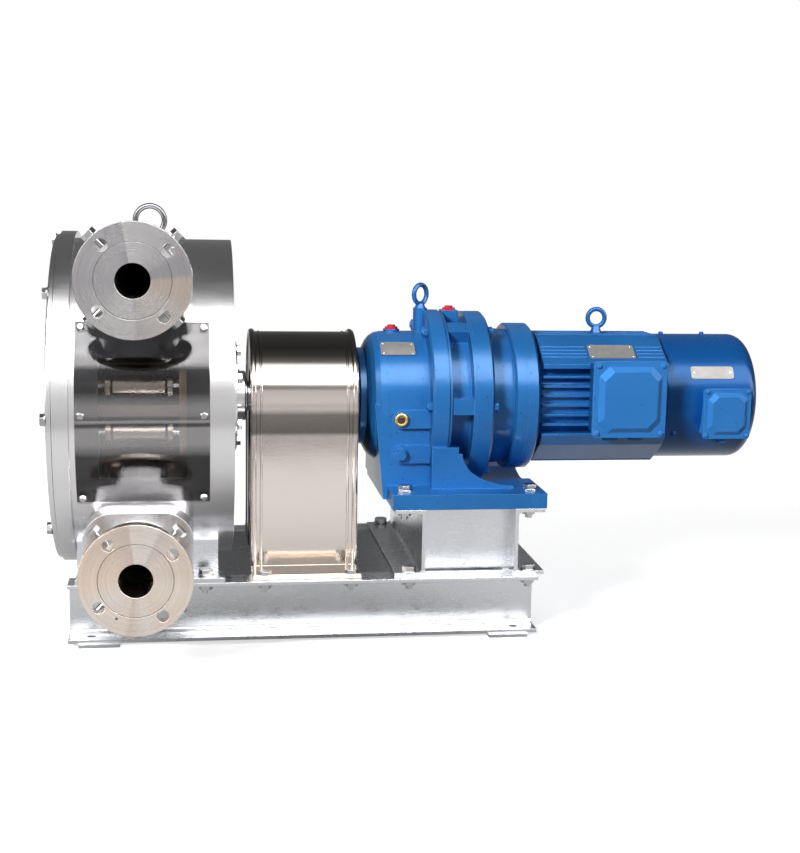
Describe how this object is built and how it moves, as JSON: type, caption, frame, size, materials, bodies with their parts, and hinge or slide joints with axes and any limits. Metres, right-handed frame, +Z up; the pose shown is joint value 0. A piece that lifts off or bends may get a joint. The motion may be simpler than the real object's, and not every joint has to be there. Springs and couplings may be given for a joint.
{
  "type": "peristaltic hose pump",
  "caption": "Peristaltic hose pump: round drum with flanged ports and a window, coupling under a guard, and a blue geared motor on a channel base.",
  "frame": {"origin": "centre of the four base bolt holes, on the underside of the pads", "axes": "+X along the shaft from the drum to the motor fan, +Y away from the ports, +Z up"},
  "size_m": [1.18, 0.6555, 0.688],
  "materials": {
    "base_steel": "satin",
    "pad_steel": "matte",
    "bright_fastener": "satin",
    "drum_metal": "satin",
    "black_rubber": "matte",
    "window_glass": "gloss",
    "port_stainless": "satin",
    "machined_steel": "satin",
    "rotor_casting": "satin",
    "roller_steel": "gloss",
    "coupling_iron": "matte",
    "spider_red": "matte",
    "guard_metal": "satin",
    "guard_black": "satin",
    "drive_blue": "gloss",
    "cover_blue": "gloss",
    "cowl_blue": "satin",
    "disc_steel": "satin",
    "plug_red": "gloss",
    "sight_brass": "satin",
    "winding_copper": "satin",
    "fan_plastic": "matte",
    "fan_motor_black": "satin"
  },
  "bodies": {
    "frame": {"base_channel_front": "base_steel", "base_channel_rear": "base_steel", "base_cross_members": "base_steel", "base_pads": "pad_steel", "drum_feet": "base_steel", "frame_bolts": "bright_fastener", "drum_shell": "drum_metal", "upper_port_body": "drum_metal", "lower_port_body": "drum_metal", "front_cover": "drum_metal", "drum_seals": "black_rubber", "drum_bolts": "bright_fastener", "window_gasket": "black_rubber", "window_pane": "window_glass", "window_screws": "bright_fastener", "upper_port_flange": "port_stainless", "lower_port_flange": "port_stainless", "upper_hose_insert": "port_stainless", "lower_hose_insert": "port_stainless", "port_clamp_bolts": "bright_fastener", "pump_hose": "black_rubber", "drum_eye_bolt": "bright_fastener", "bearing_housing": "drum_metal", "shaft_bearings": "machined_steel", "coupling_guard": "guard_metal", "guard_end_plates": "guard_black", "pedestal": "base_steel", "reducer_housing": "drive_blue", "output_cover": "drive_blue", "ring_gear_housing": "drive_blue", "ring_gear_pins": "machined_steel", "motor_adapter": "drive_blue", "reducer_bolts": "drive_blue", "breather_plugs": "plug_red", "oil_sight": "sight_brass", "drive_eye_bolts": "drive_blue", "motor_frame": "drive_blue", "motor_stator": "winding_copper", "terminal_box": "drive_blue", "terminal_box_cover": "cover_blue", "fan_cowl": "cowl_blue", "fan_motor": "fan_motor_black", "fan_terminal_box": "cover_blue"},
    "rotor": {"rotor_shaft": "machined_steel", "rotor_frame": "rotor_casting", "roller_axles": "machined_steel", "coupling_hub_pump": "coupling_iron", "coupling_spider": "spider_red", "coupling_hub_gear": "coupling_iron", "output_shaft": "machined_steel"},
    "press_roller_upper": {"press_roller_upper": "roller_steel"},
    "press_roller_lower": {"press_roller_lower": "roller_steel"},
    "guide_roller_1": {"guide_roller_1": "roller_steel"},
    "guide_roller_2": {"guide_roller_2": "roller_steel"},
    "guide_roller_3": {"guide_roller_3": "roller_steel"},
    "guide_roller_4": {"guide_roller_4": "roller_steel"},
    "motor_rotor": {"motor_rotor": "machined_steel"},
    "cycloid_disc_front": {"cycloid_disc_front": "disc_steel"},
    "cycloid_disc_rear": {"cycloid_disc_rear": "disc_steel"},
    "cooling_fan": {"cooling_fan": "fan_plastic"}
  },
  "joints": [
    {"name": "rotor_spin", "type": "hinge", "parent": "frame", "child": "rotor", "pos_m": [-0.263, 0, 0.37], "axis": [1, 0, 0], "continuous": true, "deforming": ["pump_hose"]},
    {"name": "press_roller_upper_spin", "type": "hinge", "parent": "rotor", "child": "press_roller_upper", "pos_m": [-0.263, 0, 0.5582], "axis": [1, 0, 0], "continuous": true},
    {"name": "press_roller_lower_spin", "type": "hinge", "parent": "rotor", "child": "press_roller_lower", "pos_m": [-0.263, 0, 0.1818], "axis": [1, 0, 0], "continuous": true},
    {"name": "guide_roller_1_spin", "type": "hinge", "parent": "rotor", "child": "guide_roller_1", "pos_m": [-0.263, -0.14717, 0.408], "axis": [1, 0, 0], "continuous": true},
    {"name": "guide_roller_2_spin", "type": "hinge", "parent": "rotor", "child": "guide_roller_2", "pos_m": [-0.263, -0.14717, 0.332], "axis": [1, 0, 0], "continuous": true},
    {"name": "guide_roller_3_spin", "type": "hinge", "parent": "rotor", "child": "guide_roller_3", "pos_m": [-0.263, 0.14717, 0.408], "axis": [1, 0, 0], "continuous": true},
    {"name": "guide_roller_4_spin", "type": "hinge", "parent": "rotor", "child": "guide_roller_4", "pos_m": [-0.263, 0.14717, 0.332], "axis": [1, 0, 0], "continuous": true},
    {"name": "motor_spin", "type": "hinge", "parent": "frame", "child": "motor_rotor", "pos_m": [-0.263, 0, 0.37], "axis": [1, 0, 0], "continuous": true},
    {"name": "cycloid_front_spin", "type": "hinge", "parent": "motor_rotor", "child": "cycloid_disc_front", "pos_m": [-0.263, 0, 0.367], "axis": [1, 0, 0], "continuous": true},
    {"name": "cycloid_rear_spin", "type": "hinge", "parent": "motor_rotor", "child": "cycloid_disc_rear", "pos_m": [-0.263, 0, 0.373], "axis": [1, 0, 0], "continuous": true},
    {"name": "cooling_fan_spin", "type": "hinge", "parent": "frame", "child": "cooling_fan", "pos_m": [-0.263, 0, 0.37], "axis": [1, 0, 0], "continuous": true}
  ],
  "couplings": [
    {"joint": "press_roller_upper_spin", "follows": "rotor_spin", "ratio": -5.1911},
    {"joint": "press_roller_lower_spin", "follows": "rotor_spin", "ratio": -5.1911},
    {"joint": "guide_roller_1_spin", "follows": "rotor_spin", "ratio": -7.9818},
    {"joint": "guide_roller_2_spin", "follows": "rotor_spin", "ratio": -7.9818},
    {"joint": "guide_roller_3_spin", "follows": "rotor_spin", "ratio": -7.9818},
    {"joint": "guide_roller_4_spin", "follows": "rotor_spin", "ratio": -7.9818},
    {"joint": "motor_spin", "follows": "rotor_spin", "ratio": -23},
    {"joint": "cycloid_front_spin", "follows": "rotor_spin", "ratio": 24},
    {"joint": "cycloid_rear_spin", "follows": "rotor_spin", "ratio": 24}
  ]
}
